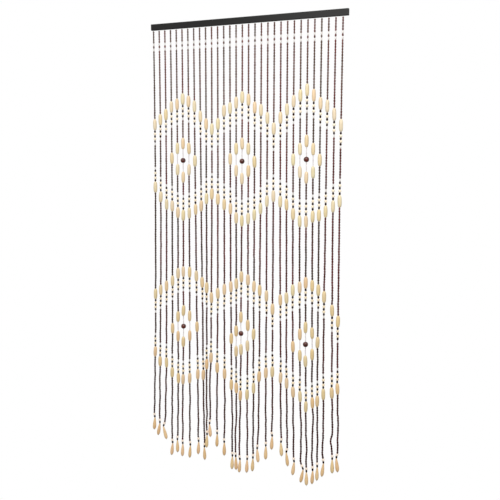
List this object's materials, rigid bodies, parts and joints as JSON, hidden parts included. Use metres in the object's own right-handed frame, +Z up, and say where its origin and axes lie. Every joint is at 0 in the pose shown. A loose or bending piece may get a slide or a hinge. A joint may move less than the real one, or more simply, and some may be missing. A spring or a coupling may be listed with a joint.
{
  "type": "bead curtain with hanging rod",
  "caption": "Doorway curtain of hanging wooden bead strands under a dark slat, with oval, round and small beads set in rows of lozenges and a drop at each tip.",
  "frame": {"origin": "centre of the rod's back face, where it is fixed to the wall or the door frame", "axes": "+Z up, +X along the rod to the right of someone who faces the curtain, +Y into the wall behind the rod"},
  "size_m": [0.9284, 0.0233, 2.0018],
  "materials": {
    "painted_slat": "matt charcoal paint on planed wood",
    "strung_beads": "turned wooden beads, stained brown or left pale, lightly waxed"
  },
  "bodies": {
    "root": {"rod": "painted_slat", "strands": "strung_beads"}
  },
  "joints": []
}
